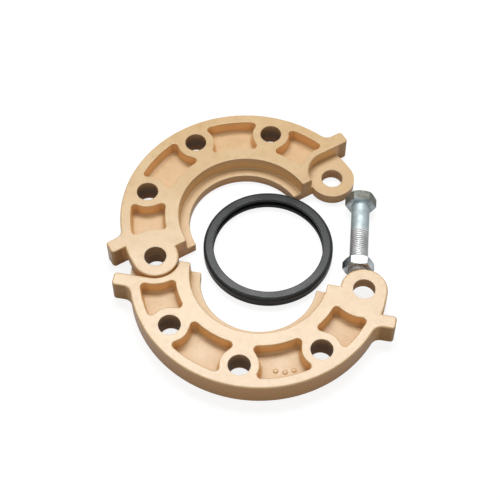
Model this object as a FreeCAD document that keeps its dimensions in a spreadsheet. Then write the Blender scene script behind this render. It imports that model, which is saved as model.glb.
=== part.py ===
import FreeCAD, Part
import Sketcher
import math
import os

# Flange adapter for a grooved pipe: two cast half flanges lapped at one ear, a rubber gasket,
# a closure bolt and its nut, laid out on a flat surface. Millimetres, +Z up.
# The origin is on the axis of the lapped ears, at the surface that everything rests on.

doc = FreeCAD.newDocument("FlangeAdapter")

# Driving dimensions

driving_sizes = [
    ("flange_diameter", 220.0, "outside diameter of the closed flange"),
    ("flange_thickness", 23.0, "thickness of a casting, face to back"),
    ("ear_radius", 20.0, "round end of an ear, which is a bolt hole's distance from the rim"),
    ("bolt_holes", 8.0, "holes in the closed flange"),
    ("bolt_hole", 19.0, "diameter of each hole"),
    ("seat_wall", 31.0, "from the bolt holes' pitch circle in to the gasket's seat"),
    ("seat_draft", 2.0, "draft of the gasket's seat, degrees"),
    ("key_ledge", 9.0, "reach of the key past the seat, into the pipe's groove"),
    ("key_thickness", 9.5, "height of the key"),
    ("end_gap", 1.0, "gap between the two castings' end faces when closed"),
    ("ear_play", 1.5, "radial play between an ear and the step round it"),
    ("lap_gap", 0.4, "gap between two lapped ears"),
    ("tab_reach", 30.5, "closure tab's end face, measured out from the ear's hole"),
    ("tab_width", 12.5, "closure tab, side to side"),
    ("tab_root", 8.0, "hollow radius where a tab's back meets the rim"),
    ("tab_corner", 3.0, "outer corners of a tab"),
    ("inner_land", 12.0, "land between the seat and the pockets"),
    ("rim_wall", 9.0, "wall between the pockets and the rim"),
    ("pocket_depth", 11.5, "depth of the pockets"),
    ("pocket_corner", 3.5, "corner radius of the pockets"),
    ("pocket_draft", 5.0, "draft of the pocket walls, degrees"),
    ("pocket_floor", 2.2, "fillet round a pocket's floor"),
    ("boss_radius", 16.5, "round boss about each bolt hole"),
    ("web_flare", 38.0, "angle of the web between a boss and the inner land, degrees"),
    ("ear_land", 6.5, "land left between an ear's step and its pocket"),
    ("cast_edge", 1.4, "rounding of the castings' outer edges"),
    ("fine_edge", 0.8, "rounding of the key, the seat and the pocket mouths"),
    ("gasket_play", 2.5, "radial play between the gasket and its seat"),
    ("gasket_width", 8.75, "gasket from its outside in to its lips"),
    ("gasket_height", 12.0, "height of the gasket"),
    ("lip_thickness", 3.2, "thickness of a lip"),
    ("lip_depth", 5.0, "depth of the hollow between the lips"),
    ("lip_edge", 0.8, "rounding of the lips"),
    ("gasket_edge", 3.0, "rounding of the gasket's outer edges"),
    ("bolt_size", 16.0, "shank diameter of the closure bolt"),
    ("bolt_length", 70.0, "length under the head"),
    ("bolt_tip", 1.6, "chamfer at the bolt's tip"),
    ("across_flats", 24.0, "width of head and nut across flats"),
    ("head_height", 10.0, "height of the bolt's head"),
    ("nut_height", 9.0, "height of the nut"),
    ("thread_play", 0.07, "radial play between the nut's bore and the thread"),
    ("hex_chamfer", 30.0, "angle of the corner chamfer on head and nut, degrees"),
    ("nut_setback", 2.5, "length of thread that shows past the nut"),
    ("opening_angle", 41.0, "angle at which the halves lie open"),
    ("gasket_shift", 8.8, "centre of the loose gasket, out past the halves' centres"),
    ("gasket_sway", 1.25, "centre of the loose gasket, past the middle of the opening, degrees"),
    ("tip_inset", 7.4, "middle of the bolt's tip, inwards of the lower half's outer ear hole"),
    ("tip_gap", 1.3, "middle of the bolt's tip, off the end of that ear"),
    ("head_gap", 4.9, "corner of the bolt's head, off the upper half's outer ear"),
]

sizes = doc.addObject("Spreadsheet::Sheet", "Sizes")
for row, (alias, value, note) in enumerate(driving_sizes, start=1):
    sizes.set("A%d" % row, note)
    sizes.set("B%d" % row, str(value))
    sizes.setAlias("B%d" % row, alias)
doc.recompute()


def value_of(expression):
    """Number that an expression on the sheet gives, in millimetres or degrees."""
    result = sizes.evalExpression(expression)
    return float(getattr(result, "Value", result))


# Shared sketch and feature helpers

# Numbers that a sketch gives its X axis, its origin and the points of a line or an arc
X_AXIS = -1
ORIGIN = (X_AXIS, 1)
START, END, CENTRE = range(1, 4)

# Radii that follow from the sheet, from the rim inwards
RIM = "Sizes.flange_diameter / 2"
PITCH = "(Sizes.flange_diameter / 2 - Sizes.ear_radius)"
SEAT = "(Sizes.flange_diameter / 2 - Sizes.ear_radius - Sizes.seat_wall)"
KEY = "(%s - Sizes.key_ledge)" % SEAT
POCKET_OUTSIDE = "(Sizes.flange_diameter / 2 - Sizes.rim_wall)"
POCKET_INSIDE = "(%s + Sizes.inner_land)" % SEAT
STEP = "(Sizes.ear_radius + Sizes.ear_play)"
EAR_LAND = "(Sizes.ear_radius + Sizes.ear_play + Sizes.ear_land)"
GASKET_OUTSIDE = "(%s - Sizes.gasket_play)" % SEAT
GASKET_INSIDE = "(%s - Sizes.gasket_width)" % GASKET_OUTSIDE


def point(x, y):
    return FreeCAD.Vector(x, y, 0)


def new_body(name):
    body = doc.addObject("PartDesign::Body", name)
    body.Label = name
    return body


def new_sketch(body, name, plane="XY_Plane", height=None):
    """Sketch on one of the body's own origin planes, lifted by an expression if one is given."""
    sketch = body.newObject("Sketcher::SketchObject", name)
    sketch.AttachmentSupport = [(origin_plane(body, plane), "")]
    sketch.MapMode = "FlatFace"
    if height:
        sketch.setExpression("AttachmentOffset.Base.z", height)
    return sketch


def dimension(sketch, kind, *where, to):
    """Driving constraint whose value follows an expression on the sheet."""
    number = value_of(to)
    if kind == "Angle":
        number = math.radians(number)
    index = sketch.addConstraint(Sketcher.Constraint(kind, *where, number))
    sketch.setExpression("Constraints[%d]" % index, to)
    return index


def relate(sketch, kind, *where):
    return sketch.addConstraint(Sketcher.Constraint(kind, *where))


def polygon(sketch, corners):
    """Closed run of lines through the corners, joined end to start."""
    lines = []
    for here, there in zip(corners, corners[1:] + corners[:1]):
        lines.append(sketch.addGeometry(Part.LineSegment(point(*here), point(*there))))
    for here, there in zip(lines, lines[1:] + lines[:1]):
        relate(sketch, "Coincident", here, END, there, START)
    return lines


def circle(sketch, radius, x=None):
    """Circle whose centre lies at the sketch's origin, or off it along the X axis."""
    centre = point(value_of(x) if x else 0, 0)
    ring = sketch.addGeometry(Part.Circle(centre, FreeCAD.Vector(0, 0, 1), value_of(radius)))
    dimension(sketch, "Radius", ring, to=radius)
    if x:
        dimension(sketch, "DistanceX", *ORIGIN, ring, CENTRE, to=x)
        relate(sketch, "PointOnObject", ring, CENTRE, X_AXIS)
    else:
        relate(sketch, "Coincident", ring, CENTRE, *ORIGIN)
    return ring


def feature(body, kind, name, **settings):
    """Feature at the body's end; a size or angle given as text is bound to that expression."""
    item = body.newObject("PartDesign::" + kind, name)
    for key, setting in settings.items():
        if isinstance(setting, str) and key != "Type":
            item.setExpression(key, setting)
        else:
            setattr(item, key, setting)
    body.Tip = item
    doc.recompute()
    return item


def origin_plane(body, role):
    return next(item for item in body.Origin.OriginFeatures if item.Role == role)


def turned(body, kind, name, sketch, angle):
    """Revolution or groove about the sketch's vertical axis."""
    return feature(body, kind, name, Profile=sketch, ReferenceAxis=(sketch, ["V_Axis"]), Angle=angle)


def round_edges(body, name, radius, wanted):
    """Fillet on every edge of the body's last feature that the test picks."""
    base = body.Tip
    names = ["Edge%d" % (i + 1) for i, edge in enumerate(base.Shape.Edges) if wanted(edge)]
    if not names:
        raise ValueError("no edge found for " + name)
    item = body.newObject("PartDesign::Fillet", name)
    item.Base = (base, names)
    item.setExpression("Radius", radius)
    body.Tip = item
    doc.recompute()
    return item


def reach_of(edge):
    """Distance of an edge's middle from the Z axis."""
    middle = edge.valueAt((edge.FirstParameter + edge.LastParameter) / 2)
    return math.hypot(middle.x, middle.y)


def level(shape, height, slack=0.01):
    """True for an edge or face that lies flat at a height."""
    box = shape.BoundBox
    return abs(box.ZMin - height) < slack and abs(box.ZMax - height) < slack


def mouth_edges(shape, height):
    """Edges round the recesses in the largest face at a height."""
    face = max((face for face in shape.Faces if level(face, height)), key=lambda face: face.Area)
    return [edge for wire in face.Wires if not wire.isSame(face.OuterWire) for edge in wire.Edges]


# Chains of tangent arcs and lines

def arc_from(centre, here, there):
    """Shorter arc about centre from here to there, with its end marks in that order."""
    first = math.atan2(here[1] - centre[1], here[0] - centre[0])
    last = math.atan2(there[1] - centre[1], there[0] - centre[0])
    ring = Part.Circle(point(*centre), FreeCAD.Vector(0, 0, 1), math.dist(centre, here))
    if (last - first) % (2 * math.pi) < math.pi:
        return Part.ArcOfCircle(ring, first, last), (START, END)
    return Part.ArcOfCircle(ring, last, first), (END, START)


def tangent_chain(sketch, pieces):
    """Closed chain of arcs and lines, each tangent to the next.

    A piece is (centre, here, there); a line has no centre. Gives the geometry's numbers."""
    made = []
    for centre, here, there in pieces:
        if centre is None:
            shape, marks = Part.LineSegment(point(*here), point(*there)), (START, END)
        else:
            shape, marks = arc_from(centre, here, there)
        made.append((sketch.addGeometry(shape), marks))
    for (one, one_marks), (two, two_marks) in zip(made, made[1:] + made[:1]):
        relate(sketch, "Tangent", one, one_marks[1], two, two_marks[0])
    return [number for number, marks in made]


# Half flange

def station_frame(angle, side):
    """Turns (along, out) at a hole's station into sketch coordinates."""
    turn = math.radians(angle)

    def place(along, out):
        along = along * side
        return (out * math.cos(turn) - along * math.sin(turn),
                out * math.sin(turn) + along * math.cos(turn))
    return place


def on_circle(centre, through, radius):
    """Point at a radius from centre on the ray towards another point."""
    share = radius / math.dist(centre, through)
    return (centre[0] + (through[0] - centre[0]) * share,
            centre[1] + (through[1] - centre[1]) * share)


def pocket_side(angle, side, at_ear):
    """Side of a pocket at one hole: tangent points and centres, from the inner wall outwards."""
    pitch = value_of(PITCH)
    inner = value_of(POCKET_INSIDE)
    outer = value_of(POCKET_OUTSIDE)
    corner = value_of("Sizes.pocket_corner")
    wall = value_of(EAR_LAND if at_ear else "Sizes.boss_radius")
    place = station_frame(angle, side)
    hole = (0.0, pitch)

    def corner_centre(reach):
        out = (reach ** 2 + pitch ** 2 - (wall + corner) ** 2) / (2 * pitch)
        return (math.sqrt(reach ** 2 - out ** 2), out)

    outer_centre = corner_centre(outer - corner)
    side_end = on_circle(hole, outer_centre, wall)
    outer_end = on_circle((0.0, 0.0), outer_centre, outer)
    if at_ear:
        inner_centre = corner_centre(inner + corner)
        side_start = on_circle(hole, inner_centre, wall)
        web = None
    else:
        flare = math.radians(value_of("Sizes.web_flare"))
        normal = (math.cos(flare), -math.sin(flare))
        along = (math.sin(flare), math.cos(flare))
        side_start = (wall * normal[0], pitch + wall * normal[1])
        base = ((wall + corner) * normal[0], pitch + (wall + corner) * normal[1])
        dot = base[0] * along[0] + base[1] * along[1]
        square = base[0] ** 2 + base[1] ** 2
        back = dot - math.sqrt(dot ** 2 - square + (inner + corner) ** 2)
        inner_centre = (base[0] - back * along[0], base[1] - back * along[1])
        web = (inner_centre[0] - corner * normal[0], inner_centre[1] - corner * normal[1])
    inner_end = on_circle((0.0, 0.0), inner_centre, inner)
    spots = {"hole": hole, "inner_end": inner_end, "inner_centre": inner_centre, "web": web,
             "side_start": side_start, "side_end": side_end, "outer_centre": outer_centre,
             "outer_end": outer_end}
    return {name: (place(*spot) if spot else None) for name, spot in spots.items()}


def pocket_sketch(body, name, first):
    """Pocket between one hole and the next, numbered from the ear at +X in hole pitches."""
    last = first + 1
    first_at_ear = first == 0
    hole_pitch = "360 / Sizes.bolt_holes"
    sketch = new_sketch(body, name, height="Sizes.flange_thickness")
    near = pocket_side(first * value_of(hole_pitch), 1, first_at_ear)
    far = pocket_side(last * value_of(hole_pitch), -1, False)
    centre = (0.0, 0.0)
    pieces = [
        (centre, near["inner_end"], far["inner_end"]),
        (far["inner_centre"], far["inner_end"], far["web"]),
        (None, far["web"], far["side_start"]),
        (far["hole"], far["side_start"], far["side_end"]),
        (far["outer_centre"], far["side_end"], far["outer_end"]),
        (centre, far["outer_end"], near["outer_end"]),
        (near["outer_centre"], near["outer_end"], near["side_end"]),
        (near["hole"], near["side_end"], near["side_start"]),
    ]
    if first_at_ear:
        pieces.append((near["inner_centre"], near["side_start"], near["inner_end"]))
    else:
        pieces.append((None, near["side_start"], near["web"]))
        pieces.append((near["inner_centre"], near["web"], near["inner_end"]))
    chain = tangent_chain(sketch, pieces)
    inner, outer = chain[0], chain[5]
    relate(sketch, "Coincident", inner, CENTRE, *ORIGIN)
    relate(sketch, "Coincident", outer, CENTRE, *ORIGIN)
    dimension(sketch, "Radius", inner, to=POCKET_INSIDE)
    dimension(sketch, "Radius", outer, to=POCKET_OUTSIDE)
    for corner in (chain[1], chain[4], chain[6], chain[-1]):
        dimension(sketch, "Radius", corner, to="Sizes.pocket_corner")
    for station, arc, at_ear, spot in ((last, chain[3], False, far["hole"]),
                                       (first, chain[7], first_at_ear, near["hole"])):
        dimension(sketch, "Radius", arc, to=EAR_LAND if at_ear else "Sizes.boss_radius")
        spoke = sketch.addGeometry(Part.LineSegment(point(0, 0), point(*spot)), True)
        relate(sketch, "Coincident", spoke, START, *ORIGIN)
        relate(sketch, "Coincident", spoke, END, arc, CENTRE)
        dimension(sketch, "Distance", spoke, to=PITCH)
        if station == 0:
            relate(sketch, "Horizontal", spoke)
        else:
            dimension(sketch, "Angle", spoke, to="%d * 360 deg / Sizes.bolt_holes" % station)
    far_lean = "%d * 360 deg / Sizes.bolt_holes - Sizes.web_flare * 1 deg" % last
    dimension(sketch, "Angle", chain[2], to=far_lean)
    if not first_at_ear:
        near_lean = "%d * 360 deg / Sizes.bolt_holes + Sizes.web_flare * 1 deg + 180 deg" % first
        dimension(sketch, "Angle", chain[8], to=near_lean)
    return sketch


def ear_sketch(body, name, side, height):
    """Ear at +X or -X: half disc below the end face, rim above it, up to the line of the step."""
    sketch = new_sketch(body, name, height=height)
    pitch = value_of(PITCH) * side
    rim = value_of(RIM) * side
    radius = value_of("Sizes.ear_radius")
    shoulder = value_of(STEP)
    inside = pitch - radius * side
    rim_end = (side * math.sqrt(rim ** 2 - shoulder ** 2), shoulder)
    round_end = Part.Circle(point(pitch, 0), FreeCAD.Vector(0, 0, 1), radius)
    disc = sketch.addGeometry(Part.ArcOfCircle(round_end, math.pi, 2 * math.pi))
    disc_marks = (START, END) if side > 0 else (END, START)
    rim_shape, rim_marks = arc_from((0.0, 0.0), (rim, 0.0), rim_end)
    rim_arc = sketch.addGeometry(rim_shape)
    across = sketch.addGeometry(Part.LineSegment(point(*rim_end), point(inside, shoulder)))
    down = sketch.addGeometry(Part.LineSegment(point(inside, shoulder), point(inside, 0)))
    relate(sketch, "Tangent", disc, disc_marks[1], rim_arc, rim_marks[0])
    relate(sketch, "Coincident", rim_arc, rim_marks[1], across, START)
    relate(sketch, "Coincident", across, END, down, START)
    relate(sketch, "Tangent", down, END, disc, disc_marks[0])
    relate(sketch, "Horizontal", across)
    relate(sketch, "Coincident", rim_arc, CENTRE, *ORIGIN)
    relate(sketch, "PointOnObject", disc, CENTRE, X_AXIS)
    relate(sketch, "Vertical", down)
    dimension(sketch, "Radius", rim_arc, to=RIM)
    dimension(sketch, "Radius", disc, to="Sizes.ear_radius")
    dimension(sketch, "DistanceY", *ORIGIN, across, START, to=STEP)
    return sketch


def tab_sketch(body, name):
    """Closure tab at +X: flat near side, rounded outer corners, hollow root at its back."""
    sketch = new_sketch(body, name + "_tab_outline")
    rim = value_of(RIM)
    near_side = value_of(STEP)
    far_side = near_side + value_of("Sizes.tab_width")
    heart = value_of(PITCH)
    reach = heart + value_of("Sizes.tab_reach")
    corner = value_of("Sizes.tab_corner")
    root = value_of("Sizes.tab_root")
    root_y = far_side + root
    root_x = math.sqrt((rim + root) ** 2 - root_y ** 2)
    touch = on_circle((0.0, 0.0), (root_x, root_y), rim)
    pieces = [
        (None, (heart, near_side), (reach - corner, near_side)),
        ((reach - corner, near_side + corner), (reach - corner, near_side), (reach, near_side + corner)),
        (None, (reach, near_side + corner), (reach, far_side - corner)),
        ((reach - corner, far_side - corner), (reach, far_side - corner), (reach - corner, far_side)),
        (None, (reach - corner, far_side), (root_x, far_side)),
        ((root_x, root_y), (root_x, far_side), touch),
    ]
    made = []
    for centre, here, there in pieces:
        if centre is None:
            shape, marks = Part.LineSegment(point(*here), point(*there)), (START, END)
        else:
            shape, marks = arc_from(centre, here, there)
        made.append((sketch.addGeometry(shape), marks))
    for (one, one_marks), (two, two_marks) in zip(made, made[1:]):
        relate(sketch, "Tangent", one, one_marks[1], two, two_marks[0])
    near_line, near_corner, end_line, far_corner, far_line, root_arc = [number for number, marks in made]
    inward = sketch.addGeometry(Part.LineSegment(point(*touch), point(heart, touch[1])))
    back = sketch.addGeometry(Part.LineSegment(point(heart, touch[1]), point(heart, near_side)))
    relate(sketch, "Coincident", root_arc, made[-1][1][1], inward, START)
    relate(sketch, "Coincident", inward, END, back, START)
    relate(sketch, "Coincident", back, END, near_line, START)
    relate(sketch, "Horizontal", inward)
    relate(sketch, "Vertical", back)
    relate(sketch, "Horizontal", near_line)
    relate(sketch, "Vertical", end_line)
    relate(sketch, "Horizontal", far_line)
    dimension(sketch, "DistanceX", *ORIGIN, near_line, START, to=PITCH)
    dimension(sketch, "DistanceY", *ORIGIN, near_line, START, to=STEP)
    dimension(sketch, "DistanceX", *ORIGIN, end_line, START, to=PITCH + " + Sizes.tab_reach")
    dimension(sketch, "DistanceY", near_line, START, far_line, START, to="Sizes.tab_width")
    dimension(sketch, "Radius", near_corner, to="Sizes.tab_corner")
    dimension(sketch, "Radius", far_corner, to="Sizes.tab_corner")
    dimension(sketch, "Radius", root_arc, to="Sizes.tab_root")
    rim_arc = sketch.addGeometry(Part.Circle(point(0, 0), FreeCAD.Vector(0, 0, 1), rim), True)
    relate(sketch, "Coincident", rim_arc, CENTRE, *ORIGIN)
    dimension(sketch, "Radius", rim_arc, to=RIM)
    relate(sketch, "Tangent", root_arc, made[-1][1][1], rim_arc)
    return sketch


def half_flange(name):
    """One casting, its ring in +Y about its own origin, low ear at +X and high ear at -X."""
    body = new_body(name)
    top = "Sizes.flange_thickness"
    low_lap = "(Sizes.flange_thickness - Sizes.lap_gap) / 2"
    high_lap = "(Sizes.flange_thickness + Sizes.lap_gap) / 2"
    rim = value_of(RIM)
    thick = value_of(top)
    key = value_of(KEY)
    ledge = value_of("Sizes.key_thickness")
    seat = value_of(SEAT)

    # Ring, turned half a turn: rim, land, gasket seat and key
    section = new_sketch(body, name + "_section", "XZ_Plane")
    seat_foot = seat - math.tan(math.radians(value_of("Sizes.seat_draft"))) * (thick - ledge)
    outline = [(key, 0), (rim, 0), (rim, thick), (seat, thick), (seat_foot, ledge), (key, ledge)]
    base, rim_wall, land, seat_wall, key_top, bore = polygon(section, outline)
    for flat in (base, land, key_top):
        relate(section, "Horizontal", flat)
    for upright in (rim_wall, bore):
        relate(section, "Vertical", upright)
    relate(section, "PointOnObject", base, START, X_AXIS)
    dimension(section, "DistanceX", *ORIGIN, base, START, to=KEY)
    dimension(section, "DistanceX", *ORIGIN, base, END, to=RIM)
    dimension(section, "DistanceY", *ORIGIN, land, START, to=top)
    dimension(section, "DistanceX", *ORIGIN, land, END, to=SEAT)
    dimension(section, "DistanceY", *ORIGIN, key_top, START, to="Sizes.key_thickness")
    seat_lean = "(Sizes.flange_thickness - Sizes.key_thickness) * tan(Sizes.seat_draft * 1 deg)"
    dimension(section, "DistanceX", seat_wall, END, seat_wall, START, to=seat_lean)
    ring = turned(body, "Revolution", name + "_ring", section, 180.0)
    if ring.Shape.BoundBox.YMax < 1:
        ring.Reversed = True
        doc.recompute()

    def round_arc(edge, radius, height):
        return level(edge, height) and edge.Curve.TypeId == "Part::GeomCircle" \
            and abs(edge.Curve.Radius - radius) < 0.01

    round_edges(body, name + "_seat_foot", "Sizes.cast_edge", lambda e: round_arc(e, seat_foot, ledge))
    round_edges(body, name + "_seat_edges", "Sizes.fine_edge",
                lambda e: round_arc(e, seat, thick) or round_arc(e, key, ledge) or round_arc(e, key, 0))

    # End faces, cut back by half the closed gap
    ends = new_sketch(body, name + "_ends")
    gap = value_of("Sizes.end_gap / 2")
    wide = value_of("Sizes.flange_diameter")
    lines = polygon(ends, [(-wide / 2, -gap), (wide / 2, -gap), (wide / 2, gap), (-wide / 2, gap)])
    for number in (0, 2):
        relate(ends, "Horizontal", lines[number])
    for number in (1, 3):
        relate(ends, "Vertical", lines[number])
    relate(ends, "Symmetric", lines[0], START, lines[1], END, *ORIGIN)
    dimension(ends, "DistanceX", lines[0], START, lines[0], END, to="Sizes.flange_diameter")
    dimension(ends, "DistanceY", lines[1], START, lines[1], END, to="Sizes.end_gap")
    feature(body, "Pocket", name + "_end_faces", Profile=ends, Type="ThroughAll", Midplane=True)

    # Laps: half the thickness goes in a round step about each ear's hole
    for label, side, height, upwards in (("low", 1, low_lap, True), ("high", -1, high_lap, False)):
        lap = new_sketch(body, "%s_%s_lap" % (name, label), height=height)
        radius = value_of(STEP)
        hole = side * value_of(PITCH)
        past = hole + side * value_of("Sizes.flange_diameter / 4")
        arc = Part.ArcOfCircle(Part.Circle(point(hole, 0), FreeCAD.Vector(0, 0, 1), radius),
                               math.pi / 2 if side > 0 else -math.pi / 2,
                               3 * math.pi / 2 if side > 0 else math.pi / 2)
        arc = lap.addGeometry(arc)
        upper = lap.addGeometry(Part.LineSegment(point(hole, radius), point(past, radius)))
        outer = lap.addGeometry(Part.LineSegment(point(past, radius), point(past, -radius)))
        lower = lap.addGeometry(Part.LineSegment(point(past, -radius), point(hole, -radius)))
        top_mark, low_mark = (START, END) if side > 0 else (END, START)
        relate(lap, "Tangent", arc, top_mark, upper, START)
        relate(lap, "Coincident", upper, END, outer, START)
        relate(lap, "Coincident", outer, END, lower, START)
        relate(lap, "Tangent", lower, END, arc, low_mark)
        relate(lap, "Horizontal", upper)
        relate(lap, "Vertical", outer)
        relate(lap, "PointOnObject", arc, CENTRE, X_AXIS)
        dimension(lap, "Radius", arc, to=STEP)
        if side > 0:
            dimension(lap, "DistanceX", *ORIGIN, arc, CENTRE, to=PITCH)
            dimension(lap, "DistanceX", upper, START, upper, END, to="Sizes.flange_diameter / 4")
        else:
            dimension(lap, "DistanceX", arc, CENTRE, *ORIGIN, to=PITCH)
            dimension(lap, "DistanceX", upper, END, upper, START, to="Sizes.flange_diameter / 4")
        feature(body, "Pocket", "%s_%s_step" % (name, label), Profile=lap, Type="ThroughAll",
                Reversed=upwards)

    # Ears: a round end about each outer hole that runs into the rim, in the layer that the step leaves
    for label, side, height in (("low", 1, None), ("high", -1, high_lap)):
        outline = ear_sketch(body, "%s_%s_ear_outline" % (name, label), side, height)
        feature(body, "Pad", "%s_%s_ear" % (name, label), Profile=outline, Length=low_lap)

    # Closure tabs beside the laps, the near face in line with the step
    tab = feature(body, "Pad", name + "_tab", Profile=tab_sketch(body, name), Length=top)
    mirror = (origin_plane(body, "YZ_Plane"), [""])
    feature(body, "Mirrored", name + "_tabs", Originals=[tab], MirrorPlane=mirror)

    # Outline edges, top and bottom
    round_edges(body, name + "_outline_edges", "Sizes.cast_edge",
                lambda e: (level(e, 0) or level(e, thick)) and reach_of(e) > seat + 2)

    # Pockets between the bosses, mirrored to the other quarter
    pockets = []
    for label, first in (("end", 0), ("middle", 1)):
        outline = pocket_sketch(body, "%s_%s_pocket_outline" % (name, label), first)
        pockets.append(feature(body, "Pocket", "%s_%s_pocket" % (name, label), Profile=outline,
                               Length="Sizes.pocket_depth", TaperAngle="-Sizes.pocket_draft"))
    feature(body, "Mirrored", name + "_pockets", Originals=pockets, MirrorPlane=mirror)

    floor = thick - value_of("Sizes.pocket_depth")
    round_edges(body, name + "_pocket_floors", "Sizes.pocket_floor", lambda e: level(e, floor))
    mouths = mouth_edges(body.Tip.Shape, thick)
    round_edges(body, name + "_pocket_mouths", "Sizes.fine_edge",
                lambda e: any(e.isSame(mouth) for mouth in mouths))

    # Bolt holes, one at each pitch from ear to ear
    hole = new_sketch(body, name + "_hole_outline")
    circle(hole, "Sizes.bolt_hole / 2", x=PITCH)
    hole_cut = feature(body, "Pocket", name + "_hole", Profile=hole, Type="ThroughAll", Midplane=True)
    feature(body, "PolarPattern", name + "_holes", Originals=[hole_cut], Axis=(hole, ["N_Axis"]),
            Angle=180.0, Occurrences="floor(Sizes.bolt_holes / 2) + 1")
    return body


# Gasket: one ring of rubber, C-shaped in section, its two lips inwards

def rubber_ring(name):
    body = new_body(name)
    inside = value_of(GASKET_INSIDE)
    outside = value_of(GASKET_OUTSIDE)
    height = value_of("Sizes.gasket_height")
    lip = value_of("Sizes.lip_thickness")
    hollow = inside + value_of("Sizes.lip_depth")
    section = new_sketch(body, name + "_section", "XZ_Plane")
    corners = [(inside, 0), (outside, 0), (outside, height), (inside, height),
               (inside, height - lip), (hollow, height - lip), (hollow, lip), (inside, lip)]
    lines = polygon(section, corners)
    for flat in (0, 2, 4, 6):
        relate(section, "Horizontal", lines[flat])
    for upright in (1, 3, 5, 7):
        relate(section, "Vertical", lines[upright])
    relate(section, "PointOnObject", lines[0], START, X_AXIS)
    dimension(section, "DistanceX", *ORIGIN, lines[0], START, to=GASKET_INSIDE)
    dimension(section, "DistanceX", *ORIGIN, lines[0], END, to=GASKET_OUTSIDE)
    dimension(section, "DistanceX", lines[6], END, lines[6], START, to="Sizes.lip_depth")
    relate(section, "Equal", lines[4], lines[6])
    dimension(section, "DistanceY", lines[1], START, lines[1], END, to="Sizes.gasket_height")
    dimension(section, "DistanceY", lines[7], END, lines[7], START, to="Sizes.lip_thickness")
    relate(section, "Equal", lines[3], lines[7])
    turned(body, "Revolution", name + "_ring", section, 360.0)
    round_edges(body, name + "_shoulders", "Sizes.gasket_edge",
                lambda e: (level(e, 0) or level(e, height)) and e.Curve.Radius > hollow)
    round_edges(body, name + "_lip_edges", "Sizes.lip_edge",
                lambda e: e.Curve.TypeId == "Part::GeomCircle" and abs(e.Curve.Radius - inside) < 0.01)
    return body


# Closure bolt and nut, each about its own axis, the bearing face at the origin

def hexagon(body, name, height=None):
    """Regular hexagon about the origin with flats square to the X axis."""
    sketch = new_sketch(body, name, height=height)
    reach = value_of("Sizes.across_flats / 2") / math.cos(math.pi / 6)
    turns = [math.radians(degrees) for degrees in range(30, 360, 60)]
    lines = polygon(sketch, [(reach * math.cos(turn), reach * math.sin(turn)) for turn in turns])
    rim = sketch.addGeometry(Part.Circle(point(0, 0), FreeCAD.Vector(0, 0, 1), reach), True)
    relate(sketch, "Coincident", rim, CENTRE, *ORIGIN)
    for line in lines:
        relate(sketch, "PointOnObject", line, START, rim)
    for line in lines[1:]:
        relate(sketch, "Equal", lines[0], line)
    relate(sketch, "Vertical", lines[2])
    dimension(sketch, "DistanceX", lines[2], START, lines[5], START, to="Sizes.across_flats")
    return sketch


def corner_chamfer(body, name, face, inwards):
    """Turned chamfer on the corners of a hexagon at the given face."""
    section = new_sketch(body, name + "_section", "XZ_Plane")
    near = value_of("Sizes.across_flats / 2")
    far = value_of("Sizes.across_flats * 3 / 4")
    level_here = value_of(face)
    drop = (far - near) * math.tan(math.radians(value_of("Sizes.hex_chamfer"))) * inwards
    top, side = polygon(section, [(near, level_here), (far, level_here), (far, level_here + drop)])[:2]
    relate(section, "Horizontal", top)
    relate(section, "Vertical", side)
    dimension(section, "DistanceX", *ORIGIN, top, START, to="Sizes.across_flats / 2")
    dimension(section, "DistanceX", top, START, top, END, to="Sizes.across_flats / 4")
    lean = "Sizes.across_flats / 4 * tan(Sizes.hex_chamfer * 1 deg)"
    if inwards > 0:
        dimension(section, "DistanceY", side, START, side, END, to=lean)
    else:
        dimension(section, "DistanceY", side, END, side, START, to=lean)
    if level_here < 0:
        dimension(section, "DistanceY", top, START, *ORIGIN, to="-(" + face + ")")
    elif level_here > 0:
        dimension(section, "DistanceY", *ORIGIN, top, START, to=face)
    else:
        relate(section, "PointOnObject", top, START, X_AXIS)
    turned(body, "Groove", name, section, 360.0)


def hex_bolt(name):
    body = new_body(name)
    length = value_of("Sizes.bolt_length")
    feature(body, "Pad", name + "_head", Profile=hexagon(body, name + "_hexagon", "-Sizes.head_height"),
            Length="Sizes.head_height")
    corner_chamfer(body, name + "_head_corners", "-Sizes.head_height", 1)
    shank = new_sketch(body, name + "_shank_outline")
    circle(shank, "Sizes.bolt_size / 2")
    feature(body, "Pad", name + "_shank", Profile=shank, Length="Sizes.bolt_length")
    tip = ["Edge%d" % (i + 1) for i, edge in enumerate(body.Tip.Shape.Edges) if level(edge, length)]
    feature(body, "Chamfer", name + "_tip", Base=(body.Tip, tip), Size="Sizes.bolt_tip")
    return body


def hex_nut(name):
    body = new_body(name)
    feature(body, "Pad", name + "_blank", Profile=hexagon(body, name + "_hexagon"),
            Length="Sizes.nut_height")
    corner_chamfer(body, name + "_near_corners", "0", 1)
    corner_chamfer(body, name + "_far_corners", "Sizes.nut_height", -1)
    bore = new_sketch(body, name + "_bore_outline")
    circle(bore, "Sizes.bolt_size / 2 + Sizes.thread_play")
    feature(body, "Pocket", name + "_bore", Profile=bore, Type="ThroughAll", Midplane=True)
    return body


def place(body, x, y, z="0", turn="0", tip_over="0"):
    """Placement by expressions: a turn about Z after a tip about Y."""
    body.setExpression("Placement", "create(<<placement>>; create(<<vector>>; %s; %s; %s); "
                       "create(<<rotation>>; %s; %s; 0))" % (x, y, z, turn, tip_over))


# Pieces where they lie: the halves open about the lapped left ears, gasket and bolt beside them

upper_half = half_flange("upper_half")
opening = "Sizes.opening_angle * 1 deg"
place(upper_half, "%s * cos(%s)" % (PITCH, opening), "%s * sin(%s)" % (PITCH, opening),
      turn="Sizes.opening_angle")

lower_half = half_flange("lower_half")
place(lower_half, PITCH, "0", turn="180")

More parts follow.
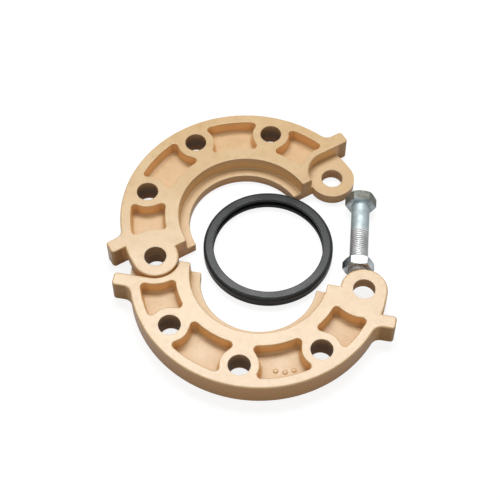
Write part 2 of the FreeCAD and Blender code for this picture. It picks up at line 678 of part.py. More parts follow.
# The gasket's centre lies near the middle of the opening, out from the hinge
gasket = rubber_ring("gasket")
gasket_way = "((Sizes.opening_angle / 2 + Sizes.gasket_sway) * 1 deg)"
gasket_reach = "(%s + Sizes.gasket_shift)" % PITCH
place(gasket, "%s * cos(%s)" % (gasket_reach, gasket_way), "%s * sin(%s)" % (gasket_reach, gasket_way))

# The bolt's tip lies by the lower half's outer ear, and its head turns clear of the upper half's:
# tip, head corner and the hole of the upper ear make a triangle of three known sides
tip_x = "(2 * %s - Sizes.tip_inset)" % PITCH
tip_y = "(Sizes.ear_radius + Sizes.tip_gap)"
to_ear_x = "(2 * %s * cos(%s) - %s)" % (PITCH, opening, tip_x)
to_ear_y = "(2 * %s * sin(%s) - %s)" % (PITCH, opening, tip_y)
to_ear = "hypot(%s; %s)" % (to_ear_x, to_ear_y)
to_corner = "hypot(Sizes.bolt_length + Sizes.head_height; Sizes.across_flats / 2)"
clear = "(Sizes.ear_radius + Sizes.head_gap)"
cosine = "((%s ^ 2 + %s ^ 2 - %s ^ 2) / (2 * %s * %s))" % (to_ear, to_corner, clear, to_ear, to_corner)
lean = "acos(min(1; %s))" % cosine
corner_lean = "atan2(Sizes.across_flats / 2; Sizes.bolt_length + Sizes.head_height)"
bolt_way = "(atan2(%s; %s) - %s - %s)" % (to_ear_y, to_ear_x, lean, corner_lean)


def along_bolt(length):
    """Point on the bolt's axis at a length back from its tip, as X and Y expressions."""
    return "%s + %s * cos(%s)" % (tip_x, length, bolt_way), "%s + %s * sin(%s)" % (tip_y, length, bolt_way)


bolt_turn = "(%s / 1 deg + 180)" % bolt_way
closure_bolt = hex_bolt("closure_bolt")
place(closure_bolt, *along_bolt("Sizes.bolt_length"), "Sizes.across_flats / 2", bolt_turn, "90")

bolt_nut = hex_nut("bolt_nut")
place(bolt_nut, *along_bolt("(Sizes.nut_setback + Sizes.nut_height)"), "Sizes.across_flats / 2",
      bolt_turn, "90")

doc.recompute()
parts = [upper_half, lower_half, gasket, closure_bolt, bolt_nut]

# Check and export

for item in doc.Objects:
    if "Invalid" in item.State or "Error" in item.State:
        raise RuntimeError("%s failed: %s" % (item.Name, item.State))
for part in parts:
    if part.Shape.isNull() or not part.Shape.isValid() or len(part.Shape.Solids) != 1:
        raise RuntimeError("%s has no sound solid" % part.Label)

os.makedirs("parts", exist_ok=True)
for part in parts:
    part.Shape.exportStep("parts/%s.step" % part.Label)
    box = part.Shape.BoundBox
    print("%s: volume %.1f cm3, %.1f x %.1f x %.1f mm"
          % (part.Label, part.Shape.Volume / 1000, box.XLength, box.YLength, box.ZLength))
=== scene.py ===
import math

import bmesh
import bpy
from mathutils import Euler, Matrix, Vector


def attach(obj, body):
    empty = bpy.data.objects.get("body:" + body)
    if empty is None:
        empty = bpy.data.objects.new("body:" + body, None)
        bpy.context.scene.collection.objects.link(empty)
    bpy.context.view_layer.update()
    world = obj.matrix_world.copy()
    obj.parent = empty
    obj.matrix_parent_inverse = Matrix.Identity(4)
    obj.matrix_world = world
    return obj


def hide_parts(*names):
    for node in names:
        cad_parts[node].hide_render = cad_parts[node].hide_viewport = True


mm = 0.001

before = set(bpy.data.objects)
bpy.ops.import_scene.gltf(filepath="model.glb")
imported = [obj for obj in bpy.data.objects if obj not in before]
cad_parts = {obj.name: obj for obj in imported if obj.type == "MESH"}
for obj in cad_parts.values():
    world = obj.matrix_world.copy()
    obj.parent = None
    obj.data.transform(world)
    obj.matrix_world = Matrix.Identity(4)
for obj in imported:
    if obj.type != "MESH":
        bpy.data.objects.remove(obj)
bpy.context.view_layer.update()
print("frame loaded:", sorted(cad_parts))


# Colours and nodes

def linear(hexColour):
    # sRGB hex as seen, turned into the linear values that shaders use
    values = []
    for start in (1, 3, 5):
        c = int(hexColour[start:start + 2], 16) / 255
        values.append(c / 12.92 if c <= 0.04045 else ((c + 0.055) / 1.055) ** 2.4)
    return (*values, 1.0)


def addNode(tree, kind, settings=None, inputs=None):
    # one node with its settings; an input goes by name or number, and is a value or another node's output
    node = tree.nodes.new(kind)
    for name, value in (settings or {}).items():
        setattr(node, name, value)
    for name, value in (inputs or {}).items():
        if isinstance(value, bpy.types.NodeSocket):
            tree.links.new(value, node.inputs[name])
        else:
            node.inputs[name].default_value = value
    return node


def newMaterial(name):
    material = bpy.data.materials.new(name)
    material.use_nodes = True
    material.node_tree.nodes.clear()
    return material, material.node_tree


def dress(piece, *materials):
    piece.data.materials.clear()
    for material in materials:
        piece.data.materials.append(material)


def dressNode(node, material):
    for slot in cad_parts[node].material_slots:
        slot.material = material


# Castings: copper-coloured enamel sprayed over a sand casting
# The enamel gives a soft satin sheen; the sand under it shows as fine grit and slow waves.
# Painted into its colour: a highlight along the edges, shade in the hollows, in the bolt holes and on
# upright faces, and light on upright faces that look into the casting.

enamel = {
    "face": "#CFAC7C",      # the full spray, on top faces
    "thinCoatAndEdgeHighlight": "#E2CBA2",      # edges and patches, where the coat pulls thin
    "stain": "#B4905C",     # random patches of thinner coat; the painted highlight along edges takes this colour too
    "side": "#C4925C",      # painted shade on upright faces round the outside
    "inner": "#EFBE80",     # painted light on upright faces that look into the casting
    "tab": "#A67A40",       # painted shade, darkest, on the sides of the closure tabs
    "thick": "#B08656",     # painted shade in corners
    "deep": "#422403",      # painted shade inside the bolt holes
    "ior": 1.5,
    "roughness": 0.17,
    "hollowRoughness": 0.36,
    "gritRoughness": 0.08,  # what the grit adds at most

    # mm
    "gritSize": 1.1,        # sand grain as it shows through the coat, drawn about three times its size
    "gritHeight": 0.06,
    "waveSize": 14.0,       # slow waves of the mould's face
    "waveHeight": 0.12,
    "toneSize": 38.0,       # patches of thicker and thinner spray
    "stainSize": 7.0,       # faint marks of handling
    "cornerReach": 7.0,     # how far from a corner the painted shade reaches
    "holeReach": 20.0,      # just over a hole's width, so that the holes close in most
    "edgeWidth": 0.9,       # width of the painted highlight along edges
    "rings": ((90.0, 0.0), (67.92, 59.05)),   # X and Y of the two ring centres
    "holes": ((26.36, -63.64), (90.0, -90.0), (153.64, -63.64), (180.0, 0.0),
              (-21.86, 65.32), (8.88, 126.97), (74.2, 148.83), (135.85, 118.09)),
    "lappedHole": ((0.0, 0.0),),              # where the left ears lie one over the other

    # where each effect starts, where it is full, and its share of the colour when full
    "thinning": (0.35, 0.7, 0.35),      # by the tone pattern
    "staining": (0.48, 0.72, 0.3),      # by the stain pattern
    "upright": (0.8, 0.1, 1.0),         # painted shade on upright faces, by how far the surface faces up
    "facingIn": (0.97, 0.75, 1.0),      # painted light on faces that look inward, by openness, which is 1 where nothing is near
    "cornerShading": (0.95, 0.35, 0.7),       # painted corner shade, by openness
    "offRim": (111.0, 114.0, 1.0),      # painted shade on the tabs' sides, by mm from a ring's centre, clear of the rim
    "holeWall": (10.3, 9.7, 1.0),       # painted shade in the holes, by mm from a hole's axis
    "lappedWall": (10.3, 9.7, 0.6),
    "edgeHighlight": (0.995, 0.9, 0.6),        # painted edge highlight, by how alike the true and the rounded direction are

    # openness at two levels, and what goes with them
    "holeOpenness": (0.62, 0.28),
    "holeDarkness": (0.3, 0.92),
    "mattOpenness": (0.95, 0.7),
}


def nearestOf(tree, plan, points):
    # how far the surface lies, seen from above, from the nearest of these points
    nearest = None
    for x, y in points:
        away = addNode(tree, "ShaderNodeVectorMath", {"operation": "DISTANCE"},
                       {0: plan, 1: (x * mm, y * mm, 0.0)}).outputs["Value"]
        if nearest is None:
            nearest = away
        else:
            nearest = addNode(tree, "ShaderNodeMath", {"operation": "MINIMUM"},
                              {0: nearest, 1: away}).outputs["Value"]
    return nearest


def topSpray(tree, place):
    # the face colour, drifting towards a thinner coat, with faint marks where the castings were handled
    tone = addNode(tree, "ShaderNodeTexNoise", {},
                   {"Vector": place, "Scale": 1 / (enamel["toneSize"] * mm), "Detail": 4.0,
                    "Roughness": 0.55})
    start, full, share = enamel["thinning"]
    drift = addNode(tree, "ShaderNodeMapRange", {},
                    {"Value": tone.outputs["Fac"], "From Min": start, "From Max": full, "To Max": share})
    coat = addNode(tree, "ShaderNodeMix", {"data_type": "RGBA"},
                   {"Factor": drift.outputs["Result"], "A": linear(enamel["face"]),
                    "B": linear(enamel["thinCoatAndEdgeHighlight"])})
    touch = addNode(tree, "ShaderNodeTexNoise", {},
                    {"Vector": place, "Scale": 1 / (enamel["stainSize"] * mm), "Detail": 3.0,
                     "Roughness": 0.6})
    start, full, share = enamel["staining"]
    touched = addNode(tree, "ShaderNodeMapRange", {},
                      {"Value": touch.outputs["Fac"], "From Min": start, "From Max": full, "To Max": share})
    handled = addNode(tree, "ShaderNodeMix", {"data_type": "RGBA"},
                      {"Factor": touched.outputs["Result"], "A": coat.outputs["Result"],
                       "B": linear(enamel["stain"])})
    return handled.outputs["Result"]


def sideLightAndShade(tree, plan, openness):
    # painted shade on upright faces, lifted by painted light on those that look into the casting,
    # and darkest on the sides of the closure tabs
    start, full, share = enamel["facingIn"]
    inward = addNode(tree, "ShaderNodeMapRange", {},
                     {"Value": openness, "From Min": start, "From Max": full, "To Max": share})
    sides = addNode(tree, "ShaderNodeMix", {"data_type": "RGBA"},
                    {"Factor": inward.outputs["Result"], "A": linear(enamel["side"]),
                     "B": linear(enamel["inner"])})
    start, full, share = enamel["offRim"]
    clear = addNode(tree, "ShaderNodeMapRange", {},
                    {"Value": nearestOf(tree, plan, enamel["rings"]), "From Min": start * mm,
                     "From Max": full * mm, "To Max": share})
    tabShaded = addNode(tree, "ShaderNodeMix", {"data_type": "RGBA"},
                      {"Factor": clear.outputs["Result"], "A": sides.outputs["Result"],
                       "B": linear(enamel["tab"])})
    return tabShaded.outputs["Result"]


def holeShade(tree, plan, openness):
    # bolt holes: painted shade, darker further in;
    # the two lapped holes make one deep hole, which the openness of a single casting can't tell
    start, full, share = enamel["holeWall"]
    inHole = addNode(tree, "ShaderNodeMapRange", {},
                     {"Value": nearestOf(tree, plan, enamel["holes"]), "From Min": start * mm,
                      "From Max": full * mm, "To Max": share})
    wide, closed = enamel["holeOpenness"]
    pale, dark = enamel["holeDarkness"]
    depth = addNode(tree, "ShaderNodeMapRange", {},
                    {"Value": openness, "From Min": wide, "From Max": closed, "To Min": pale, "To Max": dark})
    holeShaded = addNode(tree, "ShaderNodeMath", {"operation": "MULTIPLY"},
                    {0: depth.outputs["Result"], 1: inHole.outputs["Result"]})
    start, full, share = enamel["lappedWall"]
    lapped = addNode(tree, "ShaderNodeMapRange", {},
                     {"Value": nearestOf(tree, plan, enamel["lappedHole"]), "From Min": start * mm,
                      "From Max": full * mm, "To Max": share})
    both = addNode(tree, "ShaderNodeMath", {"operation": "MAXIMUM"},
                   {0: holeShaded.outputs["Value"], 1: lapped.outputs["Result"]})
    return both.outputs["Value"]


def enamelledCasting():
    material, tree = newMaterial("copperEnamelOnSandCasting")
    whereabouts = addNode(tree, "ShaderNodeTexCoord")
    place = whereabouts.outputs["Object"]
    plan = addNode(tree, "ShaderNodeVectorMath", {"operation": "MULTIPLY"},
                   {0: place, 1: (1.0, 1.0, 0.0)}).outputs["Vector"]
    openness = addNode(tree, "ShaderNodeAmbientOcclusion", {"samples": 8, "only_local": True},
                       {"Distance": enamel["holeReach"] * mm}).outputs["AO"]

    # painted shade on upright faces, and painted light on upright faces that look into the casting
    facing = addNode(tree, "ShaderNodeSeparateXYZ", {}, {"Vector": whereabouts.outputs["Normal"]})
    start, full, share = enamel["upright"]
    upright = addNode(tree, "ShaderNodeMapRange", {},
                      {"Value": facing.outputs["Z"], "From Min": start, "From Max": full, "To Max": share})
    sprayed = addNode(tree, "ShaderNodeMix", {"data_type": "RGBA"},
                      {"Factor": upright.outputs["Result"], "A": topSpray(tree, place),
                       "B": sideLightAndShade(tree, plan, openness)})

    # hollows: painted shade, browner where the casting closes in on itself
    corner = addNode(tree, "ShaderNodeAmbientOcclusion", {"samples": 8, "only_local": True},
                     {"Distance": enamel["cornerReach"] * mm})
    start, full, share = enamel["cornerShading"]
    closed = addNode(tree, "ShaderNodeMapRange", {},
                     {"Value": corner.outputs["AO"], "From Min": start, "From Max": full, "To Max": share})
    cornerShaded = addNode(tree, "ShaderNodeMix", {"data_type": "RGBA"},
                     {"Factor": closed.outputs["Result"], "A": sprayed.outputs["Result"],
                      "B": linear(enamel["thick"])})
    # painted shade inside the bolt holes
    holed = addNode(tree, "ShaderNodeMix", {"data_type": "RGBA"},
                    {"Factor": holeShade(tree, plan, openness), "A": cornerShaded.outputs["Result"],
                     "B": linear(enamel["deep"])})

    # edges: painted highlight, paler along them
    rounded = addNode(tree, "ShaderNodeBevel", {"samples": 6}, {"Radius": enamel["edgeWidth"] * mm})
    true = addNode(tree, "ShaderNodeNewGeometry")
    alike = addNode(tree, "ShaderNodeVectorMath", {"operation": "DOT_PRODUCT"},
                    {0: rounded.outputs["Normal"], 1: true.outputs["Normal"]})
    start, full, share = enamel["edgeHighlight"]
    edgeHighlightShare = addNode(tree, "ShaderNodeMapRange", {},
                    {"Value": alike.outputs["Value"], "From Min": start, "From Max": full, "To Max": share})
    colour = addNode(tree, "ShaderNodeMix", {"data_type": "RGBA"},
                     {"Factor": edgeHighlightShare.outputs["Result"], "A": holed.outputs["Result"],
                      "B": linear(enamel["thinCoatAndEdgeHighlight"])})

    # the sand's grit and the mould's waves under the coat, which is duller where it isn't open
    grit = addNode(tree, "ShaderNodeTexNoise", {},
                   {"Vector": place, "Scale": 1 / (enamel["gritSize"] * mm), "Detail": 3.0, "Roughness": 0.6})
    wave = addNode(tree, "ShaderNodeTexNoise", {},
                   {"Vector": place, "Scale": 1 / (enamel["waveSize"] * mm), "Detail": 2.0})
    waves = addNode(tree, "ShaderNodeBump", {},
                    {"Height": wave.outputs["Fac"], "Strength": 1.0, "Distance": enamel["waveHeight"] * mm})
    bump = addNode(tree, "ShaderNodeBump", {},
                   {"Height": grit.outputs["Fac"], "Normal": waves.outputs["Normal"], "Strength": 1.0,
                    "Distance": enamel["gritHeight"] * mm})
    wide, closed = enamel["mattOpenness"]
    matt = addNode(tree, "ShaderNodeMapRange", {},
                   {"Value": openness, "From Min": wide, "From Max": closed,
                    "To Min": enamel["roughness"], "To Max": enamel["hollowRoughness"]})
    gloss = addNode(tree, "ShaderNodeMath", {"operation": "MULTIPLY_ADD"},
                    {0: grit.outputs["Fac"], 1: enamel["gritRoughness"], 2: matt.outputs["Result"]})
    shader = addNode(tree, "ShaderNodeBsdfPrincipled", {},
                     {"Base Color": colour.outputs["Result"], "Roughness": gloss.outputs["Value"],
                      "Normal": bump.outputs["Normal"], "IOR": enamel["ior"]})
    addNode(tree, "ShaderNodeOutputMaterial", {}, {"Surface": shader.outputs["BSDF"]})
    return material


castingMaterial = enamelledCasting()
for node in ("upper_half", "lower_half"):
    dressNode(node, castingMaterial)
print("castings dressed")


# Cast mark: three plain raised dots on one recess floor of the lower half

mark = {
    "dots": ((119.12, -84.34), (126.9, -84.1), (133.8, -80.95)),   # mm, X and Y
    "floor": 11.5,          # mm, height of the recess floor
    "radius": 2.3,          # mm
    "rise": 0.9,            # mm
    "steps": 32,            # mesh steps round a dot
}


def raisedDots():
    # low domes, each the upper half of a flattened ball
    bm = bmesh.new()
    for x, y in mark["dots"]:
        place = Matrix.Translation(Vector((x, y, mark["floor"])) * mm)
        squash = Matrix.Diagonal((1, 1, mark["rise"] / mark["radius"], 1))
        bmesh.ops.create_uvsphere(bm, u_segments=mark["steps"], v_segments=mark["steps"] // 2,
                                  radius=mark["radius"] * mm, matrix=place @ squash)
    mesh = bpy.data.meshes.new("castDots")
    bm.to_mesh(mesh)
    bm.free()
    mesh.shade_smooth()
    piece = bpy.data.objects.new("castDots", mesh)
    bpy.context.scene.collection.objects.link(piece)
    return piece


dotsPiece = raisedDots()
dress(dotsPiece, castingMaterial)
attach(dotsPiece, "lower_casting")
print("cast dots made")


# Gasket: black rubber, compression moulded
# A soft broad highlight on the rounded top, fine flow mottling and a little bloom that greys the faces.

rubber = {
    "face": "#1F2022",
    "bloom": "#2E3031",
    "ior": 1.52,
    "highlight": 0.22,      # rubber's dusty skin takes the edge off its highlight
    "roughness": (0.19, 0.33),    # without bloom, and under the most of it
    "bloomLevels": (0.3, 0.7),    # of the bloom pattern, for these two
    "bloomSize": 16.0,      # mm
    "grainSize": 0.9,       # mm, drawn about twice the mould's real grain
    "grainHeight": 0.02,    # mm
}


def mouldedRubber():
    material, tree = newMaterial("blackRubberMoulded")
    place = addNode(tree, "ShaderNodeTexCoord").outputs["Object"]
    bloom = addNode(tree, "ShaderNodeTexNoise", {},
                    {"Vector": place, "Scale": 1 / (rubber["bloomSize"] * mm), "Detail": 4.0})
    grain = addNode(tree, "ShaderNodeTexNoise", {},
                    {"Vector": place, "Scale": 1 / (rubber["grainSize"] * mm), "Detail": 2.0})
    colour = addNode(tree, "ShaderNodeMix", {"data_type": "RGBA"},
                     {"Factor": bloom.outputs["Fac"], "A": linear(rubber["face"]),
                      "B": linear(rubber["bloom"])})
    least, most = rubber["bloomLevels"]
    clean, dusty = rubber["roughness"]
    gloss = addNode(tree, "ShaderNodeMapRange", {},
                    {"Value": bloom.outputs["Fac"], "From Min": least, "From Max": most,
                     "To Min": clean, "To Max": dusty})
    bump = addNode(tree, "ShaderNodeBump", {},
                   {"Height": grain.outputs["Fac"], "Strength": 1.0, "Distance": rubber["grainHeight"] * mm})
    shader = addNode(tree, "ShaderNodeBsdfPrincipled", {},
                     {"Base Color": colour.outputs["Result"], "Roughness": gloss.outputs["Result"],
                      "Normal": bump.outputs["Normal"], "IOR": rubber["ior"],
                      "Specular IOR Level": rubber["highlight"]})
    addNode(tree, "ShaderNodeOutputMaterial", {}, {"Surface": shader.outputs["BSDF"]})
    return material


dressNode("gasket", mouldedRubber())
print("gasket dressed")


# Closure bolt and nut: steel, bright zinc plated
# The plating is a bluish mirror, blurred by the surface under it: turned faces stay the clearest,
# the drawn shank is satin, the rolled thread paler and warmer, and the forged head dull and grey.

zinc = {
    "turned": ("#CFD6DA", "#A9B0B4", 0.28),   # plate, dull patches, roughness
    "drawn": ("#ABB6B9", "#96A1A4", 0.62),
    "rolled": ("#C3C4C4", "#AAABAB", 0.5),
    "forged": ("#828481", "#62645C", 0.6),
    "patchSize": 7.0,                 # mm, uneven plating
    "colourLevels": (0.35, 0.65),     # of the patch pattern, for the plate and the dull colour
    "roughnessLevels": (0.3, 0.7),
    "roughnessSpread": (-0.04, 0.05),
    "grainSize": 0.8,                 # mm, drawn coarser than the crystals
    "grainHeight": 0.012,             # mm
}


def platedSteel(finish):
    plate, dull, roughness = zinc[finish]
    material, tree = newMaterial("zincPlatedSteel" + finish.title())
    place = addNode(tree, "ShaderNodeTexCoord").outputs["Object"]
    patch = addNode(tree, "ShaderNodeTexNoise", {},
                    {"Vector": place, "Scale": 1 / (zinc["patchSize"] * mm), "Detail": 3.0})
    grain = addNode(tree, "ShaderNodeTexNoise", {},
                    {"Vector": place, "Scale": 1 / (zinc["grainSize"] * mm), "Detail": 2.0})
    least, most = zinc["colourLevels"]
    spread = addNode(tree, "ShaderNodeMapRange", {},
                     {"Value": patch.outputs["Fac"], "From Min": least, "From Max": most})
    colour = addNode(tree, "ShaderNodeMix", {"data_type": "RGBA"},
                     {"Factor": spread.outputs["Result"], "A": linear(plate), "B": linear(dull)})
    least, most = zinc["roughnessLevels"]
    down, up = zinc["roughnessSpread"]
    gloss = addNode(tree, "ShaderNodeMapRange", {},
                    {"Value": patch.outputs["Fac"], "From Min": least, "From Max": most,
                     "To Min": roughness + down, "To Max": roughness + up})
    bump = addNode(tree, "ShaderNodeBump", {},
                   {"Height": grain.outputs["Fac"], "Strength": 1.0, "Distance": zinc["grainHeight"] * mm})
    shader = addNode(tree, "ShaderNodeBsdfPrincipled", {},
                     {"Base Color": colour.outputs["Result"], "Roughness": gloss.outputs["Result"],
                      "Normal": bump.outputs["Normal"], "Metallic": 1.0})
    addNode(tree, "ShaderNodeOutputMaterial", {}, {"Surface": shader.outputs["BSDF"]})
    return material


fastener = {
    # mm, unless a note says otherwise; heights are along the bolt from the bearing face
    "bearingFace": (165.567, 90.946, 12.0),   # where the bolt's axis meets the bearing face
    "heading": -84.234,           # degrees from +X, the way the tip points
    "acrossFlats": 24.0,
    "cornerStart": 0.96,          # share of half the width over flats where the corner chamfer starts
    "cornerAngle": 30,            # degrees
    "headHeight": 10.0,
    "headCentre": 4.0,            # radius of the disc in the middle of the head's top
    "washerFace": (11.3, 0.4),    # radius and height of the raised ring under the head
    "neck": ((0.6, 0.0), (0.2, 0.2), (0.0, 0.6)),   # radius over the shank's, and height
    "shankRadius": 8.0,
    "length": 70.0,
    "plainLength": 27.0,
    "pitch": 2.0,
    "threadDepth": 0.9,
    "rootWidth": 0.1,             # share of half a pitch
    "flankWidth": 0.5,            # share of half a pitch
    "tipChamfer": 1.6,
    "nutHeight": 9.0,
    "nutSetback": 2.5,            # from the bolt's tip to the nut
    "boreRadius": 8.07,
    "boreChamfer": 0.7,
    "edgeRound": 0.3,
    "edgeSteps": 2,
    "edgeAngle": 25,              # degrees, edges sharper than this are rounded on the nut
    "creaseAngle": 32,            # degrees, edges sharper than this stay sharp to the eye
    "flatSteps": 12,              # mesh steps along one flat of the hexagon
    "pitchRows": 12,              # mesh rows in one turn of the thread
    "finishes": ("drawn", "turned", "forged", "rolled"),
    "forgedBelow": -0.5,          # height
    "turnedBelow": 0.05,
}


def axisMatrix(along):
    # from a piece drawn along +Z at its bearing face to where it lies, moved along the bolt
    turn = Euler((0, math.radians(90), math.radians(fastener["heading"])), "XYZ").to_matrix().to_4x4()
    place = Matrix.Translation(Vector(fastener["bearingFace"]) * mm)
    return place @ turn @ Matrix.Translation((0, 0, along * mm))


def hexRadius(angle):
    # distance from the axis to the hexagon's side, flats square to X
    lean = (angle + math.pi / 6) % (math.pi / 3) - math.pi / 6
    return fastener["acrossFlats"] / 2 / math.cos(lean)


def ringMesh(name, rows, closeEnds):
    # a mesh from rows, each a function that gives radius and height for an angle
    steps = fastener["flatSteps"] * 6
    bm = bmesh.new()
    rings = []
    for row in rows:
        ring = []
        for step in range(steps):
            angle = 2 * math.pi * step / steps
            radius, height = row(angle)
            ring.append(bm.verts.new((radius * math.cos(angle) * mm, radius * math.sin(angle) * mm,
                                      height * mm)))
        rings.append(ring)
    pairs = list(zip(rings, rings[1:]))
    if closeEnds:
        bm.faces.new(rings[0])
        bm.faces.new(reversed(rings[-1]))
    else:
        pairs.append((rings[-1], rings[0]))
    for one, two in pairs:
        for step in range(steps):
            after = (step + 1) % steps
            bm.faces.new((one[step], two[step], two[after], one[after]))
    bmesh.ops.recalc_face_normals(bm, faces=bm.faces)
    mesh = bpy.data.meshes.new(name)
    bm.to_mesh(mesh)
    bm.free()
    piece = bpy.data.objects.new(name, mesh)
    bpy.context.scene.collection.objects.link(piece)
    mesh.shade_smooth()
    mesh.set_sharp_from_angle(angle=math.radians(fastener["creaseAngle"]))
    return piece


def flatRing(radius, height):
    return lambda angle: (radius, height)


def hexRing(height):
    return lambda angle: (hexRadius(angle), height)


def cornerStart():
    # radius where the chamfer of the hexagon's corners starts
    return fastener["acrossFlats"] / 2 * fastener["cornerStart"]


def chamferRing(height, drop):
    # the hexagon's side at a face; drop is +1 or -1 for the way the corner chamfer falls
    slope = math.tan(math.radians(fastener["cornerAngle"]))
    return lambda angle: (hexRadius(angle), height + drop * (hexRadius(angle) - cornerStart()) * slope)


def threadRing(height):
    # one section across the thread: crest, flanks and root follow the turn of the helix
    plain, length = fastener["plainLength"], fastener["length"]
    fade = min(1.0, max(0.0, (height - plain) / fastener["pitch"]))
    tip = fastener["shankRadius"] - max(0.0, height - (length - fastener["tipChamfer"]))

    def section(angle):
        phase = (height / fastener["pitch"] - angle / (2 * math.pi)) % 1.0
        away = abs(phase - 0.5) * 2                      # 1 at the crest, 0 in the root
        rise = min(1.0, max(0.0, (away - fastener["rootWidth"]) / fastener["flankWidth"]))
        radius = fastener["shankRadius"] - fastener["threadDepth"] * fade * (1 - rise)
        return min(radius, tip), height
    return section


def roundEdges(piece):
    bevel = piece.modifiers.new("roundedEdges", "BEVEL")
    bevel.width = fastener["edgeRound"] * mm
    bevel.segments = fastener["edgeSteps"]
    bevel.limit_method = "ANGLE"
    bevel.angle_limit = math.radians(fastener["edgeAngle"])
    bevel.harden_normals = True


def hexBolt():
    # head from its top to the washer face, then the neck, the plain shank and the thread
    head, shank = fastener["headHeight"], fastener["shankRadius"]
    washerRadius, washerHeight = fastener["washerFace"]
    rows = [flatRing(fastener["headCentre"], -head), flatRing(cornerStart(), -head), chamferRing(-head, 1),
            hexRing(-washerHeight), flatRing(washerRadius, -washerHeight), flatRing(washerRadius, 0.0)]
    rows += [flatRing(shank + over, height) for over, height in fastener["neck"]]
    rows += [flatRing(shank, fastener["plainLength"])]
    count = int((fastener["length"] - fastener["plainLength"]) / fastener["pitch"] * fastener["pitchRows"])
    for number in range(1, count + 1):
        rows.append(threadRing(fastener["plainLength"] + number * fastener["pitch"] / fastener["pitchRows"]))
    return ringMesh("hexBoltZinc", rows, closeEnds=True)


def hexNut():
    # round the nut's section: near face, flats, far face and bore
    high, bore, chamfer = fastener["nutHeight"], fastener["boreRadius"], fastener["boreChamfer"]
    rows = [flatRing(bore + chamfer, 0.0), flatRing(cornerStart(), 0.0), chamferRing(0.0, 1),
            chamferRing(high, -1), flatRing(cornerStart(), high), flatRing(bore + chamfer, high),
            flatRing(bore, high - chamfer), flatRing(bore, chamfer)]
    return ringMesh("hexNutZinc", rows, closeEnds=False)


def boltFinish(height):
    # the finish of a face by its height: forged head, turned bearing face, drawn shank, rolled thread
    if height < fastener["forgedBelow"]:
        return "forged"
    if height < fastener["turnedBelow"]:
        return "turned"
    return "rolled" if height > fastener["plainLength"] else "drawn"


finishes = {name: platedSteel(name) for name in fastener["finishes"]}
boltPiece = hexBolt()
dress(boltPiece, *finishes.values())
for face in boltPiece.data.polygons:
    face.material_index = fastener["finishes"].index(boltFinish(face.center.z / mm))
boltPiece.data.transform(axisMatrix(0.0))
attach(boltPiece, "lower_casting")
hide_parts("closure_bolt")

nutPiece = hexNut()
nutPiece.data.transform(axisMatrix(fastener["length"] - fastener["nutSetback"] - fastener["nutHeight"]))
roundEdges(nutPiece)
dress(nutPiece, finishes["turned"])
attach(nutPiece, "nut")
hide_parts("bolt_nut")
print("bolt and nut made")


# Stage: plain pale floor, soft studio light, camera at the photograph's angle

studio = {
    "floorSize": 6.0,                          # m
    "floorCentre": (0.1, 0.0, -0.0002),        # m, a hair under the pieces
    "floorColour": "#C8C8C8",                  # what the floor sends back on to the pieces
    "floorSeen": "#828282",                    # its own colour under the white that the camera sees
    "floorWhite": 0.85,
    "floorInGloss": 0.2,                       # the pieces shade the floor that their own sides mirror
    "skyInGloss": 1.0,
    "horizon": (0.1, 0.36),                    # height up the sky, and its brightness there
    "zenith": (0.9, 0.32),
    "lights": {                                # place and aim in m, width and depth in m, power in W
        "backSoftbox": ((-0.02, 0.5, 1.118), (0.03, 0.06, 0.0), (0.86, 0.43), 11.4),
        "frontCard": ((0.1, -0.75, 0.5), (0.09, 0.06, 0.0), (1.0, 0.4), 0.6),
    },
    "cameraFrom": (183.02, -561.25, 921.99),   # mm
    "cameraAt": (75.81, 35.76, 0.0),           # mm
    "cameraRoll": 0.28,                        # degrees
    "lens": 90.36,                             # mm, on a sensor as wide as the next line says
    "sensor": 36,
    "nearest": 0.05,                           # m, where the camera's view starts
}


def whiteShare(tree, inGloss):
    # how far the background turns white: wholly to the eye and through glass, inGloss in a mirror image
    path = addNode(tree, "ShaderNodeLightPath")
    straight = addNode(tree, "ShaderNodeMath", {"operation": "MAXIMUM"},
                       {0: path.outputs["Is Camera Ray"], 1: path.outputs["Is Transmission Ray"]})
    share = addNode(tree, "ShaderNodeMath", {"operation": "MULTIPLY_ADD"},
                    {0: path.outputs["Is Glossy Ray"], 1: inGloss, 2: straight.outputs["Value"]})
    return share.outputs["Value"]


def paleFloor():
    bpy.ops.mesh.primitive_plane_add(size=studio["floorSize"], location=studio["floorCentre"])
    floor = bpy.context.active_object
    floor.name = "paleFloor"
    material, tree = newMaterial("mattPaper")
    paper = addNode(tree, "ShaderNodeBsdfDiffuse", {}, {"Color": linear(studio["floorColour"])})
    shown = addNode(tree, "ShaderNodeBsdfDiffuse", {}, {"Color": linear(studio["floorSeen"])})
    white = addNode(tree, "ShaderNodeEmission", {}, {"Color": (1, 1, 1, 1), "Strength": studio["floorWhite"]})
    lit = addNode(tree, "ShaderNodeAddShader", {}, {0: shown.outputs["BSDF"], 1: white.outputs["Emission"]})
    both = addNode(tree, "ShaderNodeMixShader", {},
                   {0: whiteShare(tree, studio["floorInGloss"]), 1: paper.outputs["BSDF"],
                    2: lit.outputs["Shader"]})
    addNode(tree, "ShaderNodeOutputMaterial", {}, {"Surface": both.outputs["Shader"]})
    dress(floor, material)


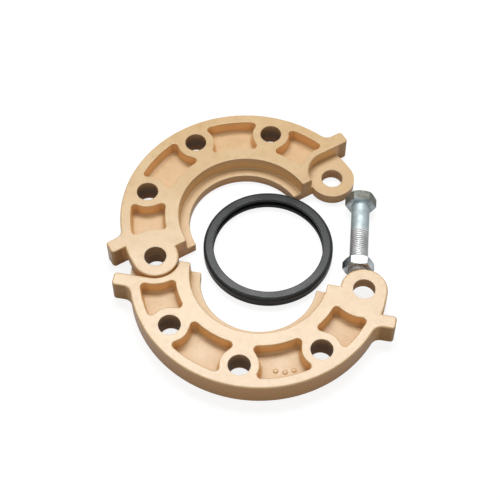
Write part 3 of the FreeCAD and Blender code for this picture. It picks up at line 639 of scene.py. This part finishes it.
def paleWorld():
    # a dim even sky for the pieces, white to the camera
    world = bpy.data.worlds.new("studioWalls")
    world.use_nodes = True
    tree = world.node_tree
    tree.nodes.clear()
    way = addNode(tree, "ShaderNodeTexCoord").outputs["Generated"]
    upwards = addNode(tree, "ShaderNodeSeparateXYZ", {}, {"Vector": way})
    low, high = studio["horizon"], studio["zenith"]
    sky = addNode(tree, "ShaderNodeMapRange", {},
                  {"Value": upwards.outputs["Z"], "From Min": low[0], "From Max": high[0],
                   "To Min": low[1], "To Max": high[1]})
    level = addNode(tree, "ShaderNodeMix", {"data_type": "FLOAT"},
                    {"Factor": whiteShare(tree, studio["skyInGloss"]), "A": sky.outputs["Result"], "B": 1.0})
    light = addNode(tree, "ShaderNodeBackground", {},
                    {"Color": (1, 1, 1, 1), "Strength": level.outputs["Result"]})
    addNode(tree, "ShaderNodeOutputWorld", {}, {"Surface": light.outputs["Background"]})
    bpy.context.scene.world = world


def softLight(name, place, aim, size, power):
    data = bpy.data.lights.new(name, "AREA")
    data.shape = "RECTANGLE"
    data.size, data.size_y = size
    data.energy = power
    lamp = bpy.data.objects.new(name, data)
    lamp.location = place
    lamp.rotation_euler = (Vector(aim) - Vector(place)).to_track_quat("-Z", "Y").to_euler()
    bpy.context.scene.collection.objects.link(lamp)


def photoCamera():
    data = bpy.data.cameras.new("photoCamera")
    data.sensor_width = studio["sensor"]
    data.lens = studio["lens"]
    data.clip_start = studio["nearest"]
    camera = bpy.data.objects.new("photoCamera", data)
    place, aim = Vector(studio["cameraFrom"]) * mm, Vector(studio["cameraAt"]) * mm
    camera.location = place
    look = (aim - place).to_track_quat("-Z", "Y").to_matrix()
    roll = Matrix.Rotation(math.radians(studio["cameraRoll"]), 3, "Z")
    camera.rotation_euler = (look @ roll).to_euler()
    bpy.context.scene.collection.objects.link(camera)
    bpy.context.scene.camera = camera


paleFloor()
paleWorld()
for name, (place, aim, size, power) in studio["lights"].items():
    softLight(name, place, aim, size, power)
photoCamera()
bpy.context.scene.view_settings.view_transform = "Standard"
print("stage set")
